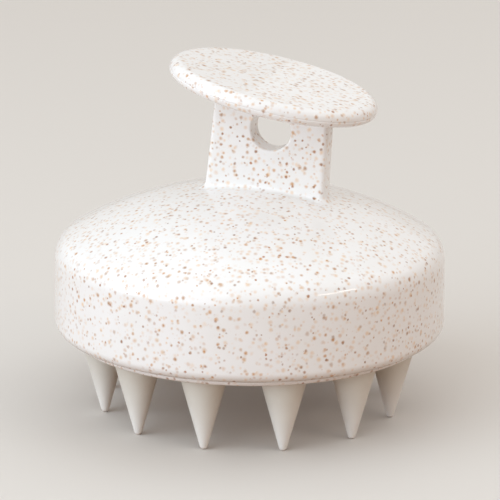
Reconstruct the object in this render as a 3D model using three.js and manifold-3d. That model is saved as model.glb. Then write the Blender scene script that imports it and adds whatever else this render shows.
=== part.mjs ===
// Scalp massager: a domed hand brush with a neck to hang it by, a tilted palm disc on top,
// and soft bristles whose round roots rock in seats between a base plate and a retainer.
import * as THREE from 'three';
import { mergeVertices } from 'three/addons/utils/BufferGeometryUtils.js';
import Module from 'manifold-3d';

const wasm = await Module();
wasm.setup();

// Driving dimensions in millimetres and degrees. Z is up and the long bristles' tips stand at zero.
// A cutter runs past what it cuts by the overshoot, and what is joined on sinks in by the sink.
const GAP = 0.3;
const OVERSHOOT = 2;
const SINK = 1;
const WELD = 1e-4;
const DEGREE = Math.PI / 180;
const QUARTER = Math.PI / 2;

// Shell
const BODY_RADIUS = 42.5;
const RIM_HEIGHT = 18;
const RIM_ROUND = 2.3;
const WALL_DRAFT = 1 * DEGREE;
const SHELL_WALL = 2.6;
const DOME_TOP = 49.2;
const DOME_RADIUS = 79;
const SHOULDER_RADIUS = 5.5;
const BODY_SEGMENTS = 56;
const OUTSIDE_STEPS = { dome: 5, shoulder: 4 };
const INSIDE_STEPS = { dome: 3, shoulder: 2 };
const EDGE_STEPS = 3;

// Neck
const NECK_THICKNESS = 5.4;
const NECK_CORNER = 1;
const NECK_FILLET = 1.9;
const NECK_BASE = { left: -9.5, right: 17.1, height: 50 };
const NECK_TOP = { left: -7.1, right: 17.9, height: 68 };
const NECK_STEPS = { corner: 4, side: 6, fillet: 4 };
const HOLE = { x: 5.2, z: 62.4, radius: 4.4, edge: 0.5, segments: 28 };

// Palm disc, whose lower end points along +X
const DISC_CENTRE = new THREE.Vector3(5, 0, 71.5);
const DISC_TILT = 11.7 * DEGREE;
const DISC_LENGTH = 45.6;
const DISC_WIDTH = 40.4;
const DISC_THICKNESS = 3.6;
const DISC_TOP_ROUND = 2.0;
const DISC_BOTTOM_ROUND = 1.3;
const DISC_SEGMENTS = 56;
const DISC_ROUND_STEPS = 4;
const TENON = { length: 6, width: 2.6, height: 1.7, offset: 8.4 };

// Bristles and the two plates that hold their roots
const ROOT_HEIGHT = 20;
const ROOT_SWELL = 0.4;
const ROOT_CROWN = 2.5;
const CONE_ANGLE = 15.2 * DEGREE;
const BRISTLE_WALL = 1.7;
const BRISTLE_STEPS = { tip: 2, root: 3 };
const RINGS = [
  { name: 'bristle', count: 12, radius: 32.1, tip: 0, tipRadius: 0.9, segments: 16 },
  { name: 'inner_bristle', count: 6, radius: 16, tip: 10.2, tipRadius: 1.2, segments: 12 },
  { name: 'centre_bristle', count: 1, radius: 0, tip: 12, tipRadius: 1.5, segments: 12 },
];
const SEAT_CONTACT = 1.6;
const THROAT_RISE = 0.5;
const PLATE = { radius: 39.6, bottom: 16.7, top: 19.2, edge: 0.8 };
const RETAINER = {
  radius: 39.2, foot: 19.5, underside: 21.4, top: 23, collarWall: 0.75, segments: 40,
};

// Snap hooks, pressure ribs and screws
const HOOK = { angles: [45, 135, 225, 315], width: 5.4, inner: 36.7, outer: 38.2, nose: 39.4, top: 27 };
const HOOK_NOSE_LOW = 25.5;
const BEAD = { low: 23.6, high: 24.8, depth: 1 };
const RIB = { angles: [15, 75, 105, 165, 195, 255, 285, 345], from: 26, to: 39, thickness: 1.4 };
const SCREW = { count: 3, circle: 21.5, boss: 2.6, shank: 1.1, head: 2.3, headHeight: 1.5, length: 5 };
const SCREW_SEGMENTS = 10;
const PILOT_SEGMENTS = 12;
const BOSS_SEGMENTS = 16;

const WHEAT_PLASTIC = { color: 0xe9e4df, roughness: 0.3, metalness: 0 };
const SILICONE = { color: 0xd6d2c8, roughness: 0.6, metalness: 0 };
const STAINLESS = { color: 0xb8babc, roughness: 0.35, metalness: 1 };

// Geometry helpers

// Merges shared corners, drops the slivers a revolve leaves on its axis and faces the mesh outward.
function closedGeometry(geometry) {
  const plain = geometry.clone();
  plain.deleteAttribute('normal');
  plain.deleteAttribute('uv');
  const merged = mergeVertices(plain, WELD);
  const points = merged.getAttribute('position');
  const corner = (index) => new THREE.Vector3().fromBufferAttribute(points, index);
  const faces = [];
  let volume = 0;
  for (let i = 0; i < merged.index.count; i += 3) {
    const face = [0, 1, 2].map((k) => merged.index.getX(i + k));
    if (new Set(face).size < 3) continue;
    faces.push(face);
    const [a, b, c] = face.map(corner);
    volume += a.dot(b.cross(c));
  }
  const outward = volume > 0 ? faces : faces.map(([a, b, c]) => [a, c, b]);
  merged.setIndex(outward.flat());
  return merged;
}

function solidOf(geometry) {
  const closed = closedGeometry(geometry);
  const mesh = new wasm.Mesh({
    numProp: 3,
    vertProperties: new Float32Array(closed.getAttribute('position').array),
    triVerts: new Uint32Array(closed.index.array),
  });
  return new wasm.Manifold(mesh);
}

function geometryOf(solid) {
  const mesh = solid.getMesh();
  const geometry = new THREE.BufferGeometry();
  geometry.setAttribute('position', new THREE.BufferAttribute(mesh.vertProperties, 3));
  geometry.setIndex(new THREE.BufferAttribute(mesh.triVerts, 1));
  geometry.computeVertexNormals();
  return geometry;
}

const joined = (solids) => solids.reduce((whole, next) => whole.add(next));

// Points of an arc in a profile plane; the angle is measured from +Z towards the outside.
function arc(centreR, centreZ, radius, from, to, steps) {
  const points = [];
  for (let i = 0; i <= steps; i += 1) {
    const angle = from + ((to - from) * i) / steps;
    points.push([centreR + radius * Math.sin(angle), centreZ + radius * Math.cos(angle)]);
  }
  return points;
}

// Turns a profile of [radius, height] points about the Z axis.
function revolved(profile, segments) {
  const points = profile.map(([r, z]) => new THREE.Vector2(Math.max(r, 0), z));
  return new THREE.LatheGeometry(points, segments).rotateX(QUARTER);
}

const cylinder = (radius, low, high, segments) => solidOf(
  revolved([[0, low], [radius, low], [radius, high], [0, high]], segments),
);

// A box that lies along a radius of the body, from one height to another.
function radialBox(angle, from, to, width, low, high) {
  const box = new THREE.BoxGeometry(to - from, width, high - low);
  box.translate((from + to) / 2, 0, (low + high) / 2);
  return solidOf(box.rotateZ(angle));
}

const onCircle = (solid, radius, angle) => solid.translate([
  radius * Math.cos(angle),
  radius * Math.sin(angle),
  0,
]);

// Body outline

// The shoulder's arc touches the dome's arc and the drafted wall; every inset outline keeps its centre.
const DOME_CENTRE = DOME_TOP - DOME_RADIUS;
const WALL_REACH = BODY_RADIUS * Math.cos(WALL_DRAFT) + RIM_HEIGHT * Math.sin(WALL_DRAFT);
const SHOULDER_SINE = (WALL_REACH - SHOULDER_RADIUS - DOME_CENTRE * Math.sin(WALL_DRAFT))
  / (DOME_RADIUS - SHOULDER_RADIUS);
const SHOULDER_ANGLE = Math.asin(SHOULDER_SINE) - WALL_DRAFT;
const SHOULDER_R = (DOME_RADIUS - SHOULDER_RADIUS) * Math.sin(SHOULDER_ANGLE);
const SHOULDER_Z = DOME_CENTRE + (DOME_RADIUS - SHOULDER_RADIUS) * Math.cos(SHOULDER_ANGLE);

const wallRadius = (z, inset) => BODY_RADIUS - inset - (z - RIM_HEIGHT) * Math.tan(WALL_DRAFT);
const domeHeight = (radius) => DOME_CENTRE + Math.sqrt(DOME_RADIUS ** 2 - radius ** 2);

// Dome and shoulder from the axis outward, moved inward by the inset.
function domeOutline(inset, steps) {
  const wallAngle = QUARTER - WALL_DRAFT;
  const dome = arc(0, DOME_CENTRE, DOME_RADIUS - inset, 0, SHOULDER_ANGLE, steps.dome);
  const radius = SHOULDER_RADIUS - inset;
  const shoulder = arc(SHOULDER_R, SHOULDER_Z, radius, SHOULDER_ANGLE, wallAngle, steps.shoulder);
  return [...dome, ...shoulder.slice(1)];
}

// A solid of the body's outline, moved inward, down to a height.
function bodyFill(inset, low) {
  const outline = domeOutline(inset, INSIDE_STEPS);
  return solidOf(revolved([...outline, [wallRadius(low, inset), low], [0, low]], BODY_SEGMENTS));
}

// Dome shell with its neck

function shellCup() {
  const outside = domeOutline(0, OUTSIDE_STEPS);
  const rimCentre = RIM_HEIGHT + RIM_ROUND;
  const rimRadius = wallRadius(rimCentre, RIM_ROUND);
  const rim = arc(rimRadius, rimCentre, RIM_ROUND, QUARTER, Math.PI, EDGE_STEPS);
  const inside = domeOutline(SHELL_WALL, INSIDE_STEPS).reverse();
  const seat = (z, extra = 0) => [wallRadius(z, SHELL_WALL + extra), z];
  const bead = [
    seat(BEAD.low - BEAD.depth / 2),
    seat(BEAD.low, BEAD.depth),
    seat(BEAD.high, BEAD.depth),
    seat(BEAD.high + BEAD.depth / 2),
  ];
  return solidOf(revolved([...outside, ...rim, seat(RIM_HEIGHT), ...bead, ...inside], BODY_SEGMENTS));
}

// Ribs under the dome press the retainer down on the bristles' roots.
function pressureRibs() {
  const foot = RETAINER.top + GAP;
  const ribs = RIB.angles.map((angle) => radialBox(
    angle * DEGREE,
    RIB.from,
    RIB.to,
    RIB.thickness,
    foot,
    DOME_TOP,
  ));
  return joined(ribs).intersect(bodyFill(SHELL_WALL / 2, RIM_HEIGHT));
}

// Left and right edge of the neck at a height, on straight edges that lean as the photographed ones.
function neckEdges(z) {
  const t = (z - NECK_BASE.height) / (NECK_TOP.height - NECK_BASE.height);
  return {
    left: THREE.MathUtils.lerp(NECK_BASE.left, NECK_TOP.left, t),
    right: THREE.MathUtils.lerp(NECK_BASE.right, NECK_TOP.right, t),
  };
}

// Outline of the neck at a height, grown outward; each corner has the same number of steps.
function neckSection(z, grow) {
  const { left, right } = neckEdges(z);
  const half = NECK_THICKNESS / 2;
  const radius = NECK_CORNER + grow;
  const corners = [
    [right - NECK_CORNER, half - NECK_CORNER, 0],
    [left + NECK_CORNER, half - NECK_CORNER, 1],
    [left + NECK_CORNER, NECK_CORNER - half, 2],
    [right - NECK_CORNER, NECK_CORNER - half, 3],
  ];
  const points = [];
  corners.forEach(([x, y, quarter], index) => {
    for (let i = 0; i <= NECK_STEPS.corner; i += 1) {
      const angle = (quarter + i / NECK_STEPS.corner) * QUARTER;
      points.push([x + radius * Math.cos(angle), y + radius * Math.sin(angle)]);
    }
    if (index % 2 === 0) {
      const sign = index === 0 ? 1 : -1;
      const [endX] = corners[index + 1];
      for (let i = 1; i < NECK_STEPS.side; i += 1) {
        points.push([THREE.MathUtils.lerp(x, endX, i / NECK_STEPS.side), sign * (half + grow)]);
      }
    }
  });
  return points;
}

// Height of the disc's flat underside over a point, from its plane.
function undersideHeight(x) {
  const lowX = DISC_CENTRE.x - (DISC_THICKNESS / 2) * Math.sin(DISC_TILT);
  const lowZ = DISC_CENTRE.z - (DISC_THICKNESS / 2) * Math.cos(DISC_TILT);
  return lowZ - (x - lowX) * Math.tan(DISC_TILT);
}

// Loft of outlines that flares into the dome below and ends on the disc's underside above.
function neckLoft() {
  const rings = [];
  const dome = ([x, y]) => domeHeight(Math.hypot(x, y));
  rings.push(neckSection(NECK_BASE.height, NECK_FILLET).map((p) => [...p, dome(p) - SHELL_WALL / 2]));
  for (let i = 0; i <= NECK_STEPS.fillet; i += 1) {
    const angle = (i / NECK_STEPS.fillet) * QUARTER;
    const grow = NECK_FILLET * (1 - Math.sin(angle));
    const rise = NECK_FILLET * (1 - Math.cos(angle));
    rings.push(neckSection(NECK_BASE.height, grow).map((p) => [...p, dome(p) + rise]));
  }
  rings.push(neckSection(NECK_TOP.height, 0).map((p) => [...p, undersideHeight(p[0]) - GAP]));

  const count = rings[0].length;
  const index = [];
  for (let ring = 0; ring < rings.length - 1; ring += 1) {
    for (let i = 0; i < count; i += 1) {
      const a = ring * count + i;
      const b = ring * count + ((i + 1) % count);
      index.push(a, b, b + count, a, b + count, a + count);
    }
  }
  const flat = (ring) => ring.map(([x, y]) => new THREE.Vector2(x, y));
  const last = (rings.length - 1) * count;
  for (const [a, b, c] of THREE.ShapeUtils.triangulateShape(flat(rings[0]), [])) index.push(a, c, b);
  for (const [a, b, c] of THREE.ShapeUtils.triangulateShape(flat(rings.at(-1)), [])) {
    index.push(last + a, last + b, last + c);
  }
  const geometry = new THREE.BufferGeometry();
  geometry.setAttribute('position', new THREE.Float32BufferAttribute(rings.flat(2), 3));
  geometry.setIndex(index);
  return solidOf(geometry);
}

// Cutter for the hanging hole: a bar along Y whose ends flare, so that the hole's edges are rounded.
function hangingHoleCutter() {
  const half = NECK_THICKNESS / 2;
  const flare = HOLE.radius + HOLE.edge;
  const lower = arc(flare, HOLE.edge - half, HOLE.edge, 2 * QUARTER, 3 * QUARTER, EDGE_STEPS);
  const upper = arc(flare, half - HOLE.edge, HOLE.edge, 3 * QUARTER, 4 * QUARTER, EDGE_STEPS);
  const reach = half + OVERSHOOT;
  const profile = [[0, -reach], [flare, -reach], ...lower, ...upper, [flare, reach], [0, reach]];
  const bar = revolved(profile, HOLE.segments).rotateX(QUARTER);
  return solidOf(bar.translate(HOLE.x, 0, HOLE.z));
}

// Places something drawn in the disc's own frame, where Z is the disc's normal.
const discFrame = new THREE.Matrix4().makeRotationY(DISC_TILT).setPosition(DISC_CENTRE);

// Two tenons on the neck's sloping top locate and hold the palm disc.
function tenons(grow) {
  const low = -DISC_THICKNESS / 2 - GAP - OVERSHOOT;
  const high = -DISC_THICKNESS / 2 - GAP + TENON.height + grow;
  return joined([-1, 1].map((side) => {
    const box = new THREE.BoxGeometry(TENON.length + 2 * grow, TENON.width + 2 * grow, high - low);
    box.translate(side * TENON.offset, 0, (low + high) / 2);
    return solidOf(box.applyMatrix4(discFrame));
  }));
}

function domeShell() {
  const body = joined([shellCup(), pressureRibs(), neckLoft(), tenons(0)]);
  return geometryOf(body.subtract(hangingHoleCutter()));
}

// Palm disc: an oval with soft edges and two blind mortises in its underside
function palmDisc() {
  const half = DISC_THICKNESS / 2;
  const radius = DISC_WIDTH / 2;
  const [high, low] = [DISC_TOP_ROUND, DISC_BOTTOM_ROUND];
  const top = arc(radius - high, half - high, high, 0, QUARTER, DISC_ROUND_STEPS);
  const bottom = arc(radius - low, low - half, low, QUARTER, Math.PI, EDGE_STEPS);
  const oval = revolved([[0, half], ...top, ...bottom, [0, -half]], DISC_SEGMENTS);
  oval.scale(DISC_LENGTH / DISC_WIDTH, 1, 1);
  return geometryOf(solidOf(oval.applyMatrix4(discFrame)).subtract(tenons(GAP)));
}

// Bristles

// Distance from the root's centre to the cone's side, which the round root swells past.
function rootRadius(ring) {
  const tipCentre = ring.tip + ring.tipRadius;
  return ring.tipRadius + (ROOT_HEIGHT - tipCentre) * Math.sin(CONE_ANGLE) + ROOT_SWELL;
}

// Half-width of a seat at a distance from the root's centre: a straight taper that clears the root.
function seatRadius(ring, distance, contact) {
  const clear = rootRadius(ring) + GAP;
  const taper = Math.asin(contact / clear);
  return (clear - distance * Math.sin(taper)) / Math.cos(taper);
}

// A hollow cone with a ball tip and a round root, drawn about the root's own axis.
function bristleProfile(ring) {
  const root = rootRadius(ring);
  const tipCentre = ring.tip + ring.tipRadius;
  const sideFromAxis = QUARTER + CONE_ANGLE;
  const tip = arc(0, tipCentre, ring.tipRadius, Math.PI, sideFromAxis, BRISTLE_STEPS.tip);
  const meet = Math.acos((root - ROOT_SWELL) / root);
  const lowAngle = sideFromAxis + meet;
  const highAngle = Math.acos(ROOT_CROWN / root);
  const ball = arc(0, ROOT_HEIGHT, root, lowAngle, highAngle, BRISTLE_STEPS.root);
  const crown = ROOT_HEIGHT + ROOT_CROWN;
  const mouth = root * Math.sin(highAngle) - BRISTLE_WALL;
  const floor = ring.tip + (ROOT_HEIGHT - ring.tip) / 2;
  const floorRadius = mouth - (crown - floor) * Math.tan(CONE_ANGLE);
  return [...tip, ...ball, [mouth, crown], [floorRadius, floor], [0, floor]];
}

const bristleGeometry = (ring) => closedGeometry(revolved(bristleProfile(ring), ring.segments));

// Angle of a bristle round the body; each ring starts on the neck plate's normal, at -Y.
const ringAngle = (ring, index) => -QUARTER + (index * 2 * Math.PI) / ring.count;

// Makes one solid for every bristle's place.
const atEveryBristle = (make) => RINGS.flatMap((ring) => {
  const solid = make(ring);
  return Array.from({ length: ring.count }, (_, i) => onCircle(solid, ring.radius, ringAngle(ring, i)));
});

// Base plate: holds the roots from below and snaps over the shell's inner bead

const screwAngle = (index) => (index * 2 * Math.PI) / SCREW.count;
const atEveryScrew = (solid) => Array.from(
  { length: SCREW.count },
  (_, i) => onCircle(solid, SCREW.circle, screwAngle(i)),
);

function lowerSeatCutter(ring) {
  const width = (z) => seatRadius(ring, ROOT_HEIGHT - z, SEAT_CONTACT);
  const [low, high] = [PLATE.bottom - OVERSHOOT, PLATE.top + OVERSHOOT];
  const profile = [[0, low], [width(low), low], [width(high), high], [0, high]];
  return solidOf(revolved(profile, ring.segments));
}

function snapHook(angle) {
  const stem = radialBox(angle, HOOK.inner, HOOK.outer, HOOK.width, PLATE.top - SINK, HOOK.top);
  const outline = new THREE.Shape([
    new THREE.Vector2(HOOK.outer - SINK, HOOK_NOSE_LOW),
    new THREE.Vector2(HOOK.nose, HOOK_NOSE_LOW),
    new THREE.Vector2(HOOK.outer, HOOK.top),
    new THREE.Vector2(HOOK.outer - SINK, HOOK.top),
  ]);
  const nose = new THREE.ExtrudeGeometry(outline, { depth: HOOK.width, bevelEnabled: false });
  nose.translate(0, 0, -HOOK.width / 2).rotateX(QUARTER);
  return stem.add(solidOf(nose.rotateZ(angle)));
}

function basePlate() {
  const [edgeR, edgeZ] = [PLATE.radius - PLATE.edge, PLATE.bottom + PLATE.edge];
  const edge = arc(edgeR, edgeZ, PLATE.edge, QUARTER, Math.PI, EDGE_STEPS);
  const profile = [[0, PLATE.top], [PLATE.radius, PLATE.top], ...edge, [0, PLATE.bottom]];
  const disc = solidOf(revolved(profile, BODY_SEGMENTS));
  const bossTop = RETAINER.underside - GAP;
  const bosses = atEveryScrew(cylinder(SCREW.boss, PLATE.top - SINK, bossTop, BOSS_SEGMENTS));
  const hooks = HOOK.angles.map((angle) => snapHook(angle * DEGREE));
  const pilotFloor = RETAINER.top - SCREW.length;
  const pilot = cylinder(SCREW.shank + GAP, pilotFloor, bossTop + OVERSHOOT, PILOT_SEGMENTS);
  const pilots = atEveryScrew(pilot);
  const body = joined([disc, ...bosses, ...hooks]);
  return geometryOf(body.subtract(joined([...atEveryBristle(lowerSeatCutter), ...pilots])));
}

// Retainer: a plate with a collar round each root, held down by screws and the shell's ribs

function collar(ring) {
  const outside = seatRadius(ring, 0, SEAT_CONTACT) + RETAINER.collarWall;
  return cylinder(outside, RETAINER.foot, RETAINER.top - SINK, ring.segments);
}

function upperSeatCutter(ring) {
  const width = (z) => seatRadius(ring, z - ROOT_HEIGHT, SEAT_CONTACT);
  const throat = ROOT_HEIGHT + THROAT_RISE;
  const top = RETAINER.top + OVERSHOOT;
  const bottom = RETAINER.foot - OVERSHOOT;
  const wide = width(throat);
  const profile = [[0, bottom], [wide, bottom], [wide, throat], [width(top), top], [0, top]];
  return solidOf(revolved(profile, ring.segments));
}

function bristleRetainer() {
  const disc = (low) => cylinder(RETAINER.radius, low, RETAINER.top, RETAINER.segments);
  const [plate, limit] = [disc(RETAINER.underside), disc(RETAINER.foot)];
  const body = joined([plate, ...atEveryBristle(collar)]).intersect(limit);
  const notches = HOOK.angles.map((angle) => radialBox(
    angle * DEGREE,
    HOOK.inner - GAP,
    BODY_RADIUS,
    HOOK.width + 2 * GAP,
    RETAINER.foot - OVERSHOOT,
    RETAINER.top + OVERSHOOT,
  ));
  const holeTop = RETAINER.top + OVERSHOOT;
  const hole = cylinder(SCREW.shank + GAP, RETAINER.foot, holeTop, PILOT_SEGMENTS);
  const cuts = [...atEveryBristle(upperSeatCutter), ...notches, ...atEveryScrew(hole)];
  return geometryOf(body.subtract(joined(cuts)));
}

// Screw with a domed head, standing over the retainer
function screwGeometry() {
  const seat = RETAINER.top + GAP;
  const end = seat - SCREW.length;
  const profile = [
    [0, end],
    [SCREW.shank, end + SCREW.shank],
    [SCREW.shank, seat],
    [SCREW.head, seat],
    [SCREW.head, seat + SCREW.headHeight / 2],
    [SCREW.head / 2, seat + SCREW.headHeight],
    [0, seat + SCREW.headHeight],
  ];
  return closedGeometry(revolved(profile, SCREW_SEGMENTS));
}

// Scene graph

function piece(name, geometry, finish) {
  const mesh = new THREE.Mesh(geometry, new THREE.MeshStandardMaterial(finish));
  mesh.name = name;
  return mesh;
}

const group = new THREE.Group();
group.name = 'scalp_massager';
group.add(piece('dome_shell', domeShell(), WHEAT_PLASTIC));
group.add(piece('palm_disc', palmDisc(), WHEAT_PLASTIC));
group.add(piece('base_plate', basePlate(), WHEAT_PLASTIC));
group.add(piece('bristle_retainer', bristleRetainer(), WHEAT_PLASTIC));

for (const ring of RINGS) {
  const geometry = bristleGeometry(ring);
  for (let i = 0; i < ring.count; i += 1) {
    const name = ring.count > 1 ? `${ring.name}_${String(i + 1).padStart(2, '0')}` : ring.name;
    const mesh = piece(name, geometry, SILICONE);
    const angle = ringAngle(ring, i);
    mesh.position.set(ring.radius * Math.cos(angle), ring.radius * Math.sin(angle), 0);
    mesh.rotation.z = angle;
    group.add(mesh);
  }
}

for (let i = 0; i < SCREW.count; i += 1) {
  const mesh = piece(`retainer_screw_${i + 1}`, screwGeometry(), STAINLESS);
  mesh.position.set(SCREW.circle * Math.cos(screwAngle(i)), SCREW.circle * Math.sin(screwAngle(i)), 0);
  group.add(mesh);
}

export default group;
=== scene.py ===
"""Scalp massager: finished surfaces, materials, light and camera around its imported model.

A domed hand brush in speckled off-white plastic. Each sub-assembly is a class that holds its own sizes,
in metres, builds its meshes in the frame's own coordinates and dresses them. Positive Z is up, the long
bristles' tips stand on the floor at zero, and the neck's flat faces look along the Y axis.
"""
import logging
import math
from dataclasses import dataclass
from enum import Enum
from functools import cache
from typing import Iterable, NamedTuple, Sequence

import bmesh
import bpy
from mathutils import Matrix, Vector


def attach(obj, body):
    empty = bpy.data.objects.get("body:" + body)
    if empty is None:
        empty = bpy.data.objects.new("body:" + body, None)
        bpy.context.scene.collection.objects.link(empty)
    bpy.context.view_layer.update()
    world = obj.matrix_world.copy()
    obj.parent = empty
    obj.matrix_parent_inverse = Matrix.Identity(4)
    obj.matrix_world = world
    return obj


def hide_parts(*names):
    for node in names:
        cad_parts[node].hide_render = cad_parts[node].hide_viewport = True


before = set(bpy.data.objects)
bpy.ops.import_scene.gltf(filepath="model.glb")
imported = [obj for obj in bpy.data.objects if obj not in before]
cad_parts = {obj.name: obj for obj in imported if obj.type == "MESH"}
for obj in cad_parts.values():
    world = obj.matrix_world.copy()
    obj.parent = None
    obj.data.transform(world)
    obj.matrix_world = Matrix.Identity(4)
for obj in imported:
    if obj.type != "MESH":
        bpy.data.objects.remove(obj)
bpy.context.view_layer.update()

BRUSH_BODY = "brush_head"
MM = 0.001
QUARTER_TURN = math.pi / 2
FULL_TURN = 2 * math.pi
# Numbers of the Mix node's colour sockets.
MIX_FIRST, MIX_SECOND, MIX_RESULT = 6, 7, 2
# Noise values between which a roughness swings from one end to the other, and a noise colour's middle.
NOISE_BAND = (0.3, 0.7)
NOISE_MIDDLE = (0.5, 0.5, 0.5)

logger = logging.getLogger("scalp_massager")

Point2 = tuple[float, float]
Point3 = tuple[float, float, float]
Object = bpy.types.Object
Socket = bpy.types.NodeSocket
Sockets = bpy.types.bpy_prop_collection


class Slot(Enum):
    """Material slots of the part's record."""

    SPECKLED_PLASTIC = "speckled_plastic"
    PLAIN_PLASTIC = "plain_plastic"
    SILICONE = "silicone"
    SCREW_STEEL = "screw_steel"


class Cut(Enum):
    """How a second solid changes the first."""

    TAKE_AWAY = "DIFFERENCE"
    ADD = "UNION"


class Patches(NamedTuple):
    """A noise's patch size in metres and its detail."""

    size: float
    detail: float


def shade_of(code: str) -> tuple[float, float, float, float]:
    """Linear red, green and blue of an sRGB code such as e9e4df, and an alpha of 1."""
    parts = (int(code[i:i + 2], 16) / 255 for i in (0, 2, 4))
    return (*(p / 12.92 if p <= 0.04045 else ((p + 0.055) / 1.055) ** 2.4 for p in parts), 1.0)


class NodeGraph:
    """Adds nodes and links to one node tree in few words."""

    def __init__(self, tree: bpy.types.NodeTree) -> None:
        """Keeps the shader or geometry node tree that the nodes go into."""
        self.tree = tree

    def fill(self, node: bpy.types.Node, inputs: dict) -> bpy.types.Node:
        """Fills a node's inputs.

        Args:
            node: The node.
            inputs: Other nodes' outputs, colour codes or plain values, by the input's name or number.

        Returns:
            The same node.
        """
        for key, value in inputs.items():
            if isinstance(value, Socket):
                self.tree.links.new(value, node.inputs[key])
            else:
                node.inputs[key].default_value = shade_of(value) if isinstance(value, str) else value
        return node

    def add(self, kind: str, inputs: dict | None = None, **settings: object) -> bpy.types.Node:
        """Adds a node with its settings and inputs.

        Args:
            kind: The node's type name.
            inputs: What fills its inputs, by name or number.
            **settings: Properties of the node itself.

        Returns:
            The new node.
        """
        node = self.tree.nodes.new(kind)
        for name, value in settings.items():
            setattr(node, name, value)
        return self.fill(node, inputs or {})

    def group(self, kind: type["NamedTree"], *values: object) -> Sockets:
        """Adds a node for a shared group, with values in the order of its inputs, and returns its outputs."""
        return self.add("ShaderNodeGroup", dict(enumerate(values)), node_tree=kind.shared()).outputs

    def math(self, operation: str, *values: object) -> Socket:
        """Adds a Math node and returns its result."""
        return self.add("ShaderNodeMath", dict(enumerate(values)), operation=operation).outputs[0]

    def vector_math(self, operation: str, *values: object) -> Sockets:
        """Adds a Vector Math node and returns its outputs."""
        return self.add("ShaderNodeVectorMath", dict(enumerate(values)), operation=operation).outputs

    def xyz(self, **parts: object) -> Socket:
        """Adds a Combine XYZ node and returns its vector."""
        return self.add("ShaderNodeCombineXYZ", parts).outputs[0]

    def remap(self, value: Socket, low: object, high: object, to_low: object, to_high: object) -> Socket:
        """Adds a smooth Map Range node that takes low to to_low and high to to_high, clamped at both ends."""
        inputs = {"Value": value, "From Min": low, "From Max": high, "To Min": to_low, "To Max": to_high}
        return self.add("ShaderNodeMapRange", inputs, interpolation_type="SMOOTHSTEP").outputs["Result"]

    def mix_colour(self, factor: object, first: object, second: object) -> Socket:
        """Adds a colour Mix node, which gives the first colour at factor 0 and the second at 1."""
        inputs = {0: factor, MIX_FIRST: first, MIX_SECOND: second}
        return self.add("ShaderNodeMix", inputs, data_type="RGBA").outputs[MIX_RESULT]

    def noise(self, place: Socket, patches: Patches) -> Sockets:
        """Adds a Noise Texture node and returns its outputs."""
        inputs = {"Vector": place, "Scale": 1 / patches.size, "Detail": patches.detail}
        return self.add("ShaderNodeTexNoise", inputs).outputs

    def bump(self, height: Socket, depth: float) -> Socket:
        """Adds a Bump node with a depth in metres and returns its normal."""
        return self.add("ShaderNodeBump", {"Height": height, "Distance": depth}).outputs[0]


def arc(centre: Point2, radius: float, start: float, end: float, steps: int) -> list[Point2]:
    """Points of an arc of radius and height, its angles taken from +Z towards the outside."""
    angles = (start + (end - start) * i / steps for i in range(steps + 1))
    return [(centre[0] + radius * math.sin(a), centre[1] + radius * math.cos(a)) for a in angles]


def circle(radius: float, height: float, count: int) -> list[Vector]:
    """Points of a level circle round the Z axis."""
    angles = (FULL_TURN * i / count for i in range(count))
    return [Vector((radius * math.cos(a), radius * math.sin(a), height)) for a in angles]


def mesh_object(name: str, points: Iterable[Sequence[float]], faces: Iterable[Sequence[int]] = (),
                edges: Iterable[Sequence[int]] = ()) -> Object:
    """Makes an object of plain points, edges and faces at the origin.

    Args:
        name: The object's name.
        points: Coordinates in metres.
        faces: Corner numbers of each face.
        edges: End numbers of each loose edge.

    Returns:
        The object, linked to the scene.
    """
    mesh = bpy.data.meshes.new(name)
    mesh.from_pydata([tuple(p) for p in points], [tuple(e) for e in edges], [tuple(f) for f in faces])
    mesh.validate()
    made = bpy.data.objects.new(name, mesh)
    bpy.context.scene.collection.objects.link(made)
    return made


def slab(name: str, corners: Sequence[Point2], thickness: float) -> Object:
    """Makes a flat plate that stands along the XZ plane.

    Args:
        name: The object's name.
        corners: X and Z of its outline, counter-clockwise as seen from -Y.
        thickness: Its size along Y, half on each side of the plane.

    Returns:
        The plate.
    """
    count = len(corners)
    points = [(x, side * thickness / 2, z) for side in (-1, 1) for x, z in corners]
    faces = [list(range(count)), [count + i for i in reversed(range(count))]]
    faces += [[(i + 1) % count, i, i + count, (i + 1) % count + count] for i in range(count)]
    return mesh_object(name, points, faces)


def settle(obj: Object) -> Object:
    """Turns an object's modifiers into its own plain mesh.

    Args:
        obj: An object with modifiers.

    Returns:
        The same object, without modifiers.
    """
    bpy.context.view_layer.update()
    graph = bpy.context.evaluated_depsgraph_get()
    made = bpy.data.meshes.new_from_object(obj.evaluated_get(graph), depsgraph=graph)
    obj.modifiers.clear()
    old, obj.data = obj.data, made
    made.name = obj.name
    bpy.data.meshes.remove(old)
    return obj


def combine(target: Object, tool: Object, cut: Cut) -> None:
    """Cuts a solid from another or joins it on, and removes the tool.

    Args:
        target: The solid that is changed.
        tool: The solid that is used up.
        cut: Whether it is taken away or added.
    """
    modifier = target.modifiers.new(cut.value.lower(), "BOOLEAN")
    modifier.operation, modifier.solver, modifier.object = cut.value, "EXACT", tool
    settle(target)
    bpy.data.objects.remove(tool)


def face_outward(obj: Object) -> None:
    """Points every face of a closed mesh outward.

    Args:
        obj: The piece.
    """
    work = bmesh.new()
    work.from_mesh(obj.data)
    bmesh.ops.recalc_face_normals(work, faces=work.faces)
    if work.calc_volume(signed=True) < 0:
        bmesh.ops.reverse_faces(work, faces=work.faces)
    work.to_mesh(obj.data)
    work.free()


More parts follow.
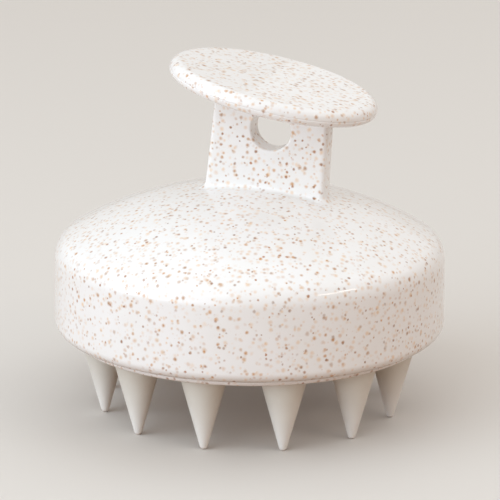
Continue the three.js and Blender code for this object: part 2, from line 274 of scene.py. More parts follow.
class NamedTree(NodeGraph):
    """A node tree with named sockets, whose inputs and outputs give each socket's kind by name."""

    NAME: str
    KIND: str
    INPUTS: dict[str, str]
    OUTPUTS: dict[str, str]

    def __init__(self) -> None:
        """Makes the tree, its sockets and the nodes between them."""
        super().__init__(bpy.data.node_groups.new(self.NAME, self.KIND))
        for way, sockets in (("INPUT", self.INPUTS), ("OUTPUT", self.OUTPUTS)):
            for name, kind in sockets.items():
                self.tree.interface.new_socket(name, in_out=way, socket_type=f"NodeSocket{kind}")
        self.given = self.add("NodeGroupInput").outputs
        self.add("NodeGroupOutput", self.wire())

    @classmethod
    def shared(cls) -> bpy.types.NodeTree:
        """The tree, made when it is first asked for."""
        return bpy.data.node_groups.get(cls.NAME) or cls().tree

    def wire(self) -> dict[str, Socket]:
        """Adds the nodes, and gives what feeds each output."""
        raise NotImplementedError


class ShapeTree(NamedTree):
    """A Geometry Nodes tree that makes one solid, or several in one mesh."""

    KIND = "GeometryNodeTree"
    OUTPUTS = {"Solid": "Geometry"}

    def shape(self) -> Socket:
        """Adds the nodes, and gives their shape."""
        raise NotImplementedError

    def wire(self) -> dict[str, Socket]:
        """Ends the shape's nodes in plain geometry with a finish."""
        real = self.add("GeometryNodeRealizeInstances", {0: self.shape()}).outputs[0]
        return {"Solid": self.add("GeometryNodeSetMaterial", {0: real, "Material": self.given["Finish"]}).outputs[0]}

    @classmethod
    def run(cls, obj: Object, values: dict[str, object]) -> Object:
        """Runs the tree on an object's mesh, which is its first input.

        Args:
            obj: The object.
            values: The other inputs, by name.

        Returns:
            The same object with a new plain mesh.
        """
        modifier = obj.modifiers.new(cls.NAME, "NODES")
        modifier.node_group = cls.shared()
        for socket in modifier.node_group.interface.items_tree:
            if socket.name in values:
                modifier[socket.identifier] = values[socket.name]
        return settle(obj)


class TurnedShape(ShapeTree):
    """Turns a profile about the Z axis and puts it in its place."""

    NAME = "turned_shape"
    INPUTS = {
        "Profile": "Geometry",
        "Segments": "Int",
        **dict.fromkeys(("Stretch", "Tilt", "Turn"), "Float"),
        "Place": "Vector",
        "Finish": "Material",
    }
    WELD = 1e-6
    HALF_A_STEP = 0.5

    def shape(self) -> Socket:
        """Bends a grid round the axis, one row for each point of the profile.

        Returns:
            The closed shape in its place.
        """
        given = self.given
        columns = self.math("ADD", given["Segments"], 1.0)
        count = self.add("GeometryNodeAttributeDomainSize", {"Geometry": given["Profile"]})
        grid = self.add("GeometryNodeMeshGrid", {"Vertices X": count.outputs["Point Count"], "Vertices Y": columns})
        number = self.add("GeometryNodeInputIndex").outputs[0]
        row = self.math("FLOOR", self.math("DIVIDE", self.math("ADD", number, self.HALF_A_STEP), columns))
        step = self.math("SUBTRACT", number, self.math("MULTIPLY", row, columns))
        angle = self.math("DIVIDE", self.math("MULTIPLY", step, FULL_TURN), given["Segments"])
        place = self.add("GeometryNodeInputPosition").outputs[0]
        inputs = {"Geometry": given["Profile"], "Value": place, "Index": row}
        sample = self.add("GeometryNodeSampleIndex", inputs, data_type="FLOAT_VECTOR")
        part = self.add("ShaderNodeSeparateXYZ", {0: sample.outputs[0]}).outputs
        across = self.math("MULTIPLY", part["X"], self.math("COSINE", angle))
        turned = self.xyz(
            X=self.math("MULTIPLY", across, given["Stretch"]),
            Y=self.math("MULTIPLY", part["X"], self.math("SINE", angle)),
            Z=part["Z"],
        )
        shaped = self.add("GeometryNodeSetPosition", {"Geometry": grid.outputs["Mesh"], "Position": turned})
        closed = self.add("GeometryNodeMergeByDistance", {"Geometry": shaped.outputs[0], "Distance": self.WELD})
        rotation = self.xyz(Y=given["Tilt"], Z=given["Turn"])
        inputs = {"Geometry": closed.outputs[0], "Translation": given["Place"], "Rotation": rotation}
        return self.add("GeometryNodeTransform", inputs).outputs[0]

    @classmethod
    def make(cls, name: str, profile: Sequence[Point2], segments: int, place: Sequence[float] = (0, 0, 0),
             stretch: float = 1.0, tilt: float = 0.0, turn: float = 0.0) -> Object:
        """Turns one profile into a closed solid.

        Args:
            name: The piece's name.
            profile: Radius and height points that start and end on the axis.
            segments: Flat sides round the axis.
            place: Where the turned shape's own origin goes.
            stretch: Factor along X before it is tilted, for an oval.
            tilt: Turn about Y.
            turn: Turn about Z.

        Returns:
            The piece with a plain mesh.
        """
        points = [(max(r, 0.0), 0.0, z) for r, z in profile]
        obj = mesh_object(name, points, edges=zip(range(len(points)), range(1, len(points))))
        values = {"Segments": segments, "Stretch": stretch, "Tilt": tilt, "Turn": turn, "Place": tuple(place)}
        face_outward(cls.run(obj, values))
        return obj


class CopiesOnCircle(ShapeTree):
    """Repeats a solid round the Z axis."""

    NAME = "copies_on_circle"
    INPUTS = {
        "Original": "Geometry",
        "Count": "Int",
        "First Angle": "Float",
        "Circle Radius": "Float",
        "Finish": "Material",
    }

    def shape(self) -> Socket:
        """Puts the solid on points of the circle.

        Returns:
            The copies.
        """
        given = self.given
        number = self.add("GeometryNodeInputIndex").outputs[0]
        step = self.math("DIVIDE", self.math("MULTIPLY", number, FULL_TURN), given["Count"])
        angle = self.math("ADD", step, given["First Angle"])
        spot = self.xyz(
            X=self.math("MULTIPLY", given["Circle Radius"], self.math("COSINE", angle)),
            Y=self.math("MULTIPLY", given["Circle Radius"], self.math("SINE", angle)),
        )
        points = self.add("GeometryNodePoints", {"Count": given["Count"], "Position": spot})
        inputs = {"Points": points.outputs[0], "Instance": given["Original"], "Rotation": self.xyz(Z=angle)}
        return self.add("GeometryNodeInstanceOnPoints", inputs).outputs[0]

    @classmethod
    def repeat(cls, obj: Object, count: int, radius: float = 0.0, first_angle: float = 0.0) -> Object:
        """Replaces a solid by copies of it in one object, with their origins on a circle, turned to their angles."""
        return cls.run(obj, {"Count": count, "First Angle": first_angle, "Circle Radius": radius})


class SpeckGroup(NamedTree):
    """Shader node group: soft round specks scattered through a plastic, cut where they meet its surface."""

    NAME = "scattered_specks"
    KIND = "ShaderNodeTree"
    INPUTS = {
        "Vector": "Vector",
        **dict.fromkeys(("Spacing", "Radius", "Size Spread", "Softness", "Faintness", "Seed"), "Float"),
    }
    OUTPUTS = dict.fromkeys(("Mask", "Tone"), "Float")

    def wire(self) -> dict[str, Socket]:
        """Puts one speck of its own size, strength and tone in each cell.

        Returns:
            Where the specks are, and each one's tone.
        """
        given = self.given
        seed = self.xyz(**{axis: given["Seed"] for axis in "XYZ"})
        moved = self.vector_math("ADD", given["Vector"], seed)[0]
        scale = self.math("DIVIDE", 1.0, given["Spacing"])
        cells = self.add("ShaderNodeTexVoronoi", {"Vector": moved, "Scale": scale}).outputs
        chance = self.add("ShaderNodeSeparateColor", {0: cells["Color"]}).outputs
        away = self.math("MULTIPLY", cells["Distance"], given["Spacing"])
        shrink = self.math("SUBTRACT", 1.0, self.math("MULTIPLY", given["Size Spread"], chance[0]))
        outer = self.math("MULTIPLY", given["Radius"], shrink)
        inner = self.math("MULTIPLY", outer, self.math("SUBTRACT", 1.0, given["Softness"]))
        disc = self.remap(away, inner, outer, 1.0, 0.0)
        strength = self.math("SUBTRACT", 1.0, self.math("MULTIPLY", given["Faintness"], chance[1]))
        return {"Mask": self.math("MULTIPLY", disc, strength), "Tone": chance[2]}


class EdgeRubGroup(NamedTree):
    """Shader node group: where handling has rubbed the outer edges, and a fine uneven gloss."""

    NAME = "edge_rub"
    KIND = "ShaderNodeTree"
    INPUTS = {
        "Vector": "Vector",
        **dict.fromkeys(("Patch Size", "Roughness Low", "Roughness High", "Rub"), "Float"),
    }
    OUTPUTS = dict.fromkeys(("Rub Mask", "Roughness"), "Float")
    OUTER_EDGE = (0.505, 0.56)
    PATCH_BAND = (0.35, 0.65)
    PATCH_DETAIL = 4.0
    LEAST_RUB = 0.25
    RUBBED_ROUGHNESS = 0.15

    def wire(self) -> dict[str, Socket]:
        """Breaks up the outer edges by a noise that also varies the gloss.

        Returns:
            How far each place is rubbed, and its roughness.
        """
        given = self.given
        scale = self.math("DIVIDE", 1.0, given["Patch Size"])
        inputs = {"Vector": given["Vector"], "Scale": scale, "Detail": self.PATCH_DETAIL}
        patches = self.add("ShaderNodeTexNoise", inputs).outputs[0]
        edge = self.add("ShaderNodeNewGeometry").outputs["Pointiness"]
        convex = self.remap(edge, *self.OUTER_EDGE, 0.0, 1.0)
        broken = self.remap(patches, *self.PATCH_BAND, self.LEAST_RUB, 1.0)
        mask = self.math("MULTIPLY", self.math("MULTIPLY", convex, broken), given["Rub"])
        gloss = self.remap(patches, *NOISE_BAND, given["Roughness Low"], given["Roughness High"])
        rough = self.math("ADD", gloss, self.math("MULTIPLY", mask, self.RUBBED_ROUGHNESS))
        return {"Rub Mask": mask, "Roughness": rough}


class Surface(NodeGraph):
    """The node graph of one material."""

    def __init__(self, name: str) -> None:
        """Starts the material with its Principled shader.

        Args:
            name: The material's name.
        """
        self.material = bpy.data.materials.new(name)
        self.material.use_nodes = True
        self.material.node_tree.nodes.clear()
        super().__init__(self.material.node_tree)
        self.shader = self.add("ShaderNodeBsdfPrincipled")
        self.output = self.add("ShaderNodeOutputMaterial", {"Surface": self.shader.outputs[0]})

    def place(self) -> Socket:
        """Where a point of the surface is, in metres."""
        return self.add("ShaderNodeTexCoord").outputs["Object"]

    def finish(self, inputs: dict) -> bpy.types.Material:
        """Fills the shader's inputs and returns the material."""
        self.fill(self.shader, inputs)
        return self.material


@dataclass(frozen=True)
class Specks:
    """One kind of speck in the plastic."""

    spacing: float
    radius: float
    spread: float
    softness: float
    faintness: float
    strength: float
    seed: float
    light: str
    dark: str


@dataclass(frozen=True)
class SpeckledPlastic:
    """Glossy off-white moulding with tan and brown specks of three sizes in it."""

    slot: Slot = Slot.SPECKLED_PLASTIC
    base: str = "f3f2f2"
    warm_base: str = "edebe8"
    rubbed: str = "f6f4f2"
    rub: float = 0.5
    rub_size: float = 6 * MM
    roughness: tuple[float, float] = (0.3, 0.4)
    base_shine: float = 0.25
    coat: float = 0.9
    coat_roughness: float = 0.03
    peel: Patches = Patches(2.6 * MM, 1.0)
    peel_depth: float = 0.013 * MM
    clouds: Patches = Patches(9 * MM, 3.0)
    ripples: Patches = Patches(0.7 * MM, 2.0)
    ripple_push: float = 0.35 * MM
    palm_axis: Point3 = (0.2028, 0.0, 0.9792)
    palm_face: tuple[float, float] = (72.0 * MM, 72.8 * MM)
    palm_growth: float = 1.14
    kinds: tuple[Specks, ...] = (
        Specks(1.3 * MM, 0.8 * MM, 0.58, 1.0, 0.65, 0.72, 0.31, "e6b46c", "cfa274"),
        Specks(1.45 * MM, 0.7 * MM, 0.62, 0.88, 0.68, 0.95, 0.57, "cc8a2e", "a46e32"),
        Specks(1.6 * MM, 0.54 * MM, 0.62, 0.75, 0.62, 0.95, 0.83, "b06a20", "8a541e"),
    )

    @cache
    def material(self) -> bpy.types.Material:
        """Builds the material.

        Returns:
            The finished material.
        """
        graph = Surface(self.slot.value)
        place = graph.place()
        centred = graph.vector_math("SUBTRACT", graph.noise(place, self.ripples)["Color"], NOISE_MIDDLE)[0]
        push = graph.add("ShaderNodeVectorMath", {0: centred, "Scale": self.ripple_push}, operation="SCALE")
        ragged = graph.vector_math("ADD", place, push.outputs[0])[0]
        colour = graph.mix_colour(graph.noise(place, self.clouds)[0], self.base, self.warm_base)
        height = graph.vector_math("DOT_PRODUCT", place, self.palm_axis)["Value"]
        growth = graph.remap(height, *self.palm_face, 1.0, self.palm_growth)
        for kind in self.kinds:
            radius = graph.math("MULTIPLY", growth, kind.radius)
            softening = (kind.spread, kind.softness, kind.faintness)
            specks = graph.group(SpeckGroup, ragged, kind.spacing, radius, *softening, kind.seed)
            tone = graph.mix_colour(specks["Tone"], kind.light, kind.dark)
            colour = graph.mix_colour(graph.math("MULTIPLY", specks["Mask"], kind.strength), colour, tone)
        rub = graph.group(EdgeRubGroup, place, self.rub_size, *self.roughness, self.rub)
        return graph.finish({
            "Base Color": graph.mix_colour(rub["Rub Mask"], colour, self.rubbed),
            "Roughness": rub["Roughness"],
            "Normal": graph.bump(graph.noise(place, self.peel)[0], self.peel_depth),
            "Specular IOR Level": self.base_shine,
            "Coat Weight": self.coat,
            "Coat Roughness": self.coat_roughness,
        })


@dataclass(frozen=True)
class PlainPlastic:
    """Plain satin moulding for the retainer inside."""

    slot: Slot = Slot.PLAIN_PLASTIC
    light: str = "e6e1da"
    dark: str = "d9d3ca"
    clouds: Patches = Patches(7 * MM, 4.0)
    grain: Patches = Patches(0.8 * MM, 3.0)
    grain_depth: float = 0.02 * MM
    roughness: tuple[float, float] = (0.4, 0.55)

    @cache
    def material(self) -> bpy.types.Material:
        """Builds the material.

        Returns:
            The finished material.
        """
        graph = Surface(self.slot.value)
        place = graph.place()
        grain = graph.noise(place, self.grain)[0]
        return graph.finish({
            "Base Color": graph.mix_colour(graph.noise(place, self.clouds)[0], self.light, self.dark),
            "Roughness": graph.remap(grain, *NOISE_BAND, *self.roughness),
            "Normal": graph.bump(grain, self.grain_depth),
        })


@dataclass(frozen=True)
class Silicone:
    """Matt warm-grey silicone rubber of the bristles, with painted light: paler towards the tips, and the roots left in
    painted shade from the body above.
    """

    slot: Slot = Slot.SILICONE
    # Painted light: the pale tip colour, which fades into the plain colour up to the given height.
    tip: str = "f3f3ef"
    light: str = "e4e4dc"
    dark: str = "d6d3ca"
    rubbed: str = "efeeea"
    rub: float = 0.35
    rub_size: float = 3 * MM
    roughness: tuple[float, float] = (0.48, 0.62)
    painted_tip_light_height: float = 15 * MM
    clouds: Patches = Patches(5 * MM, 3.0)
    grain: Patches = Patches(0.45 * MM, 3.0)
    grain_depth: float = 0.012 * MM
    sheen: float = 0.25
    sheen_roughness: float = 0.4

    @cache
    def material(self) -> bpy.types.Material:
        """Builds the material.

        Returns:
            The finished material.
        """
        graph = Surface(self.slot.value)
        place = graph.place()
        rub = graph.group(EdgeRubGroup, place, self.rub_size, *self.roughness, self.rub)
        colour = graph.mix_colour(graph.noise(place, self.clouds)[0], self.light, self.dark)
        height = graph.add("ShaderNodeSeparateXYZ", {0: place}).outputs["Z"]
        # Painted light: the tips are made paler, and the roots, where the body shades them, stay darker.
        colour = graph.mix_colour(graph.remap(height, 0.0, self.painted_tip_light_height, 1.0, 0.0), colour, self.tip)
        return graph.finish({
            "Base Color": graph.mix_colour(rub["Rub Mask"], colour, self.rubbed),
            "Roughness": rub["Roughness"],
            "Normal": graph.bump(graph.noise(place, self.grain)[0], self.grain_depth),
            "Sheen Weight": self.sheen,
            "Sheen Roughness": self.sheen_roughness,
        })


@dataclass(frozen=True)
class ScrewSteel:
    """Bright rolled steel of the screws."""

    slot: Slot = Slot.SCREW_STEEL
    light: str = "c9cbcd"
    dark: str = "a4a6a8"
    streaks: Patches = Patches(1 * MM, 4.0)
    streak_scale: Point3 = (1.0, 1.0, 8.0)
    roughness: tuple[float, float] = (0.25, 0.45)

    @cache
    def material(self) -> bpy.types.Material:
        """Builds the material.

        Returns:
            The finished material.
        """
        graph = Surface(self.slot.value)
        brushed = graph.add("ShaderNodeMapping", {"Vector": graph.place(), "Scale": self.streak_scale})
        streaks = graph.noise(brushed.outputs[0], self.streaks)[0]
        return graph.finish({
            "Base Color": graph.mix_colour(streaks, self.light, self.dark),
            "Roughness": graph.remap(streaks, *NOISE_BAND, *self.roughness),
            "Metallic": 1.0,
        })


FINISHES = {finish.slot: finish for finish in (SpeckledPlastic(), PlainPlastic(), Silicone(), ScrewSteel())}


def dress(obj: Object, slot: Slot) -> None:
    """Gives a piece or a CAD node its material.

    Args:
        obj: The piece.
        slot: The record's slot that it belongs to.
    """
    if not obj.material_slots:
        obj.data.materials.append(None)
    for entry in obj.material_slots:
        entry.material = FINISHES[slot].material()


def hand_over(obj: Object, node: str, body: str, slot: Slot, sharp: float = math.radians(32)) -> None:
    """Shades and dresses a finished piece and puts it in the place of its CAD node.

    Args:
        obj: The piece.
        node: The CAD node that it stands for.
        body: The body that it rides on.
        slot: The record's slot that it belongs to.
        sharp: Edges that turn more than this stay crisp.
    """
    obj.data.shade_smooth()
    obj.data.set_sharp_from_angle(angle=sharp)
    obj.modifiers.new("flat_faces", "WEIGHTED_NORMAL").keep_sharp = True
    settle(obj)
    dress(obj, slot)
    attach(obj, body)
    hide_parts(node)
    logger.info("%s stands for %s, %d faces", obj.name, node, len(obj.data.polygons))


@dataclass
class BodyOutline:
    """The domed body's outline: a drafted wall, a shoulder arc and a shallow dome that touch each other."""

    radius: float = 42.5 * MM
    rim: float = 18 * MM
    draft: float = math.radians(1)
    dome_top: float = 49.2 * MM
    dome_radius: float = 79 * MM
    shoulder: float = 5.5 * MM

    def __post_init__(self) -> None:
        """Works out where the arcs touch."""
        self.dome_centre = self.dome_top - self.dome_radius
        span = self.dome_radius - self.shoulder
        reach = self.radius * math.cos(self.draft) + self.rim * math.sin(self.draft)
        sine = (reach - self.shoulder - self.dome_centre * math.sin(self.draft)) / span
        angle = self.shoulder_angle = math.asin(sine) - self.draft
        self.shoulder_centre = (span * math.sin(angle), self.dome_centre + span * math.cos(angle))

    def wall_radius(self, height: float, inset: float = 0.0) -> float:
        """Radius of the drafted wall at a height, moved inward by the inset."""
        return self.radius - inset - (height - self.rim) * math.tan(self.draft)

    def dome_height(self, x: float, y: float) -> float:
        """Height of the dome over a point."""
        return self.dome_centre + math.sqrt(self.dome_radius ** 2 - x * x - y * y)

    def dome_edge(self, inset: float = 0.0) -> float:
        """Radius where the dome's arc ends and the shoulder starts."""
        return (self.dome_radius - inset) * math.sin(self.shoulder_angle)

    def shoulder_arc(self, inset: float, steps: int) -> list[Point2]:
        """Points on the shoulder from the dome to the wall."""
        end = QUARTER_TURN - self.draft
        return arc(self.shoulder_centre, self.shoulder - inset, self.shoulder_angle, end, steps)


@dataclass
class PalmDisc:
    """The oval palm disc, tilted so that its +X end is low."""

    centre: Point3 = (5 * MM, 0, 71.5 * MM)
    tilt: float = math.radians(11.7)
    length: float = 45.6 * MM
    width: float = 40.4 * MM
    thickness: float = 3.6 * MM
    top_round: float = 2.0 * MM
    bottom_round: float = 1.3 * MM
    parting_depth: float = 0.12 * MM
    parting_width: float = 0.14 * MM
    tenon_length: float = 6 * MM
    tenon_width: float = 2.6 * MM
    tenon_height: float = 1.7 * MM
    tenon_offset: float = 8.4 * MM
    mortise_gap: float = 0.3 * MM
    segments: int = 160
    top_rows: tuple[float, ...] = (0.0, 0.35, 0.7)
    bottom_rows: tuple[float, ...] = (0.5, 0.0)
    top_steps: int = 14
    bottom_steps: int = 10

    def underside(self, x: float, gap: float) -> float:
        """Height of the disc's flat underside over a point, less a gap."""
        low = Vector(self.centre) - Vector((math.sin(self.tilt), 0, math.cos(self.tilt))) * self.thickness / 2
        return low.z - (x - low.x) * math.tan(self.tilt) - gap

    def tenons(self, grow: float = 0.0) -> Object:
        """Two blocks that locate the disc on the neck.

        Args:
            grow: How much larger than the tenon each side is.

        Returns:
            One object with both blocks, in their place.
        """
        low, high = -self.thickness, self.tenon_height - self.thickness / 2 + grow
        near, far = (self.tenon_offset + side * (self.tenon_length / 2 + grow) for side in (-1, 1))
        blocks = slab("tenons", [(near, low), (far, low), (far, high), (near, high)], self.tenon_width + 2 * grow)
        CopiesOnCircle.repeat(blocks, 2)
        blocks.data.transform(Matrix.Translation(self.centre) @ Matrix.Rotation(self.tilt, 4, "Y"))
        return blocks

    def profile(self) -> list[Point2]:
        """Half section of the disc, with the fine parting line that the mould leaves between its two rounds.

        Returns:
            Radius and height points, from the middle of the top to the middle of the underside.
        """
        half, radius, low = self.thickness / 2, self.width / 2, self.bottom_round
        top = arc((radius - self.top_round, half - self.top_round), self.top_round, 0, QUARTER_TURN, self.top_steps)
        bottom = arc((radius - low, low - half), low, QUARTER_TURN, math.pi, self.bottom_steps)
        middle = (low - self.top_round) / 2
        parting = [
            (radius, middle + self.parting_width),
            (radius - self.parting_depth, middle),
            (radius, middle - self.parting_width),
        ]
        crown = [(radius * share, half) for share in self.top_rows]
        return [*crown, *top, *parting, *bottom, *((radius * share, -half) for share in self.bottom_rows)]

    def build(self) -> None:
        """Makes the disc and its two blind mortises."""
        stretch = self.length / self.width
        obj = TurnedShape.make("palm_disc_moulding", self.profile(), self.segments, self.centre, stretch, self.tilt)
        combine(obj, self.tenons(self.mortise_gap), Cut.TAKE_AWAY)
        hand_over(obj, "palm_disc", BRUSH_BODY, Slot.SPECKLED_PLASTIC)


@dataclass
class DomeHousing:
    """The domed shell with its neck plate, moulded in one piece."""

    outline: BodyOutline
    disc: PalmDisc
    wall: float = 2.6 * MM
    rim_round: float = 2.3 * MM
    neck_thickness: float = 5.4 * MM
    neck_corner: float = 1.0 * MM
    end_fillet: float = 1.9 * MM
    face_fillet: float = 0.95 * MM
    foot_ends: Point2 = (-9.5 * MM, 17.1 * MM)
    head_ends: Point2 = (-7.1 * MM, 17.9 * MM)
    seam: float = 0.04 * MM
    hole_place: Point3 = (5.2 * MM, 0, 62.4 * MM)
    hole_radius: float = 4.4 * MM
    hole_edge: float = 0.5 * MM
    hole_sides: int = 72
    edge_steps: int = 8
    bead_low: float = 23.6 * MM
    bead_high: float = 24.8 * MM
    bead_depth: float = 1.0 * MM
    rib_foot: float = 23.3 * MM
    rib_from: float = 26 * MM
    rib_to: float = 39 * MM
    rib_thickness: float = 1.4 * MM
    rib_angles: tuple[float, float] = (15, 75)
    ribs_in_set: int = 4
    corner_steps: int = 6
    side_steps: int = 6
    face_steps: int = 60
    neck_rows: int = 14
    fillet_steps: int = 10
    dome_rows: int = 22
    dome_row_power: float = 1.25
    shoulder_steps: int = 14
    wall_rows: int = 8
    rim_steps: int = 10
    ceiling_steps: int = 10
    inner_shoulder_steps: int = 6

    def neck_ring(self, ends: Point2) -> list[tuple[float, float, float, float]]:
        """Outline of the neck, counter-clockwise from the middle of its right side.

        Args:
            ends: X of its left and right end.

        Returns:
            X and Y of each point, and of the way out from it.
        """
        corner, ring = self.neck_corner, []
        left, right, half = ends[0] + corner, ends[1] - corner, self.neck_thickness / 2 - corner
        centres = [(right, half), (left, half), (left, -half), (right, -half)]
        for number, (x, y) in enumerate(centres):
            next_x, next_y = centres[(number + 1) % 4]
            steps = self.side_steps if number % 2 else self.face_steps
            turns = [(number + i / self.corner_steps) * QUARTER_TURN for i in range(self.corner_steps + 1)]
            stations = [(0.0, turn) for turn in turns] + [(i / steps, turns[-1]) for i in range(1, steps)]
            for share, turn in stations:
                out_x, out_y = math.cos(turn), math.sin(turn)
                centre_x, centre_y = x + (next_x - x) * share, y + (next_y - y) * share
                ring.append((centre_x + corner * out_x, centre_y + corner * out_y, out_x, out_y))
        shift = self.side_steps // 2
        return ring[-shift:] + ring[:-shift]

    def on_dome(self, x: float, y: float, rise: float = 0.0) -> Vector:
        """The point of the dome over a plan point."""
        return Vector((x, y, self.outline.dome_height(x, y) + rise))

    def fillet_ring(self, turn: float) -> list[Vector]:
        """One ring of the fillet round the neck's foot, which is wider at the neck's ends than along its faces.

        Args:
            turn: Angle round the fillet, zero where it meets the dome.

        Returns:
            The ring.
        """
        ring = []
        for x, y, out_x, out_y in self.neck_ring(self.foot_ends):
            radius = self.face_fillet + (self.end_fillet - self.face_fillet) * out_x ** 2
            grow = radius * (1 - math.sin(turn))
            ring.append(self.on_dome(x + out_x * grow, y + out_y * grow, radius * (1 - math.cos(turn))))
        return ring

    def outer_rings(self) -> list[list[Vector]]:
        """Rings from the neck's top down to the rim, on the outside.

        Returns:
            The rings, each with the same number of points.
        """
        turns = (QUARTER_TURN * i / self.fillet_steps for i in range(self.fillet_steps, -1, -1))
        fillet = [self.fillet_ring(turn) for turn in turns]
        head_ring = self.neck_ring(self.head_ends)
        head = [Vector((x, y, self.disc.underside(x, self.seam))) for x, y, _, _ in head_ring]
        neck = [[a.lerp(b, i / self.neck_rows) for a, b in zip(head, fillet[0])] for i in range(self.neck_rows)]
        plan = circle(self.outline.dome_edge(), 0.0, len(head))
        dome = []
        for i in range(1, self.dome_rows + 1):
            share = (i / self.dome_rows) ** self.dome_row_power
            dome.append([self.on_dome(*a.xy.lerp(b.xy, share)) for a, b in zip(fillet[-1], plan)])
        below = [circle(r, z, len(head)) for r, z in self.wall_profile()]
        return [*neck, *fillet, *dome, *below]

    def wall_profile(self) -> list[Point2]:
        """Shoulder, wall and rounded rim.

        Returns:
            Radius and height points, from the top down.
        """
        body, turn_in = self.outline, self.outline.rim + self.rim_round
        shoulder = body.shoulder_arc(0.0, self.shoulder_steps)[1:]
        top = shoulder[-1][1]
        wall = [top + (turn_in - top) * i / self.wall_rows for i in range(1, self.wall_rows)]
        centre = (body.wall_radius(turn_in, self.rim_round), turn_in)
        rim = arc(centre, self.rim_round, QUARTER_TURN, math.pi, self.rim_steps)
        return [*shoulder, *((body.wall_radius(z), z) for z in wall), *rim]

    def inner_profile(self) -> list[Point2]:
        """The inside, with the bead that holds the base plate.

        Returns:
            Radius and height points, from the rim up to the middle of the dome.
        """
        body, slope = self.outline, self.bead_depth / 2
        seats = [
            (body.rim, 0.0),
            (self.bead_low - slope, 0.0),
            (self.bead_low, self.bead_depth),
            (self.bead_high, self.bead_depth),
            (self.bead_high + slope, 0.0),
        ]
        dome_radius = body.dome_radius - self.wall
        dome = arc((0.0, body.dome_centre), dome_radius, 0.0, body.shoulder_angle, self.ceiling_steps)[:-1]
        ceiling = [*dome, *body.shoulder_arc(self.wall, self.inner_shoulder_steps)]
        return [*((body.wall_radius(z, self.wall + extra), z) for z, extra in seats), *reversed(ceiling)]

    def ribs(self) -> Object:
        """The pressure ribs under the dome, in two sets.

        Returns:
            One object with all the ribs.
        """
        body = self.outline
        corners = [
            (self.rib_from, self.rib_foot),
            (self.rib_to, self.rib_foot),
            (self.rib_to, body.shoulder_centre[1]),
            *((x, body.dome_height(x, 0) - self.wall / 2) for x in (body.dome_edge(self.wall), self.rib_from)),
        ]
        sets = []
        for degrees in self.rib_angles:
            rib = slab("ribs", corners, self.rib_thickness)
            sets.append(CopiesOnCircle.repeat(rib, self.ribs_in_set, first_angle=math.radians(degrees)))
        combine(*sets, Cut.ADD)
        return sets[0]

    def hole_tool(self) -> Object:
        """A bar along Y whose flared ends round the hanging hole's edges.

        Returns:
            The cutting tool.
        """
        half, reach, edge = self.neck_thickness / 2, self.neck_thickness, self.hole_edge
        flare = self.hole_radius + edge
        lower = arc((flare, edge - half), edge, math.pi, 1.5 * math.pi, self.edge_steps)
        upper = arc((flare, half - edge), edge, 1.5 * math.pi, FULL_TURN, self.edge_steps)
        profile = [(0, -reach), (flare, -reach), *lower, *upper, (flare, reach), (0, reach)]
        bar = TurnedShape.make("hole_tool", profile, self.hole_sides)
        bar.data.transform(Matrix.Translation(self.hole_place) @ Matrix.Rotation(QUARTER_TURN, 4, "X"))
        return bar

    def build(self) -> None:
        """Makes the shell in one closed surface, then its hole, ribs and tenons."""
        inside, rings = self.inner_profile(), self.outer_rings()
        count = len(rings[0])
        rings += [circle(r, z, count) for r, z in inside[:-1]]
        points = [p for ring in rings for p in ring]
        sides = [(i, (i + 1) % count) for i in range(count)]
        last = len(points) - count
        faces = [list(range(count))]
        faces += [[a + i, a + count + i, a + count + j, a + j] for a in range(0, last, count) for i, j in sides]
        faces += [[last + i, len(points), last + j] for i, j in sides]
        obj = mesh_object("dome_housing", [*points, (0, 0, inside[-1][1])], faces)
        face_outward(obj)
        combine(obj, self.hole_tool(), Cut.TAKE_AWAY)
        combine(obj, self.ribs(), Cut.ADD)
        combine(obj, self.disc.tenons(), Cut.ADD)
        hand_over(obj, "dome_shell", BRUSH_BODY, Slot.SPECKLED_PLASTIC)


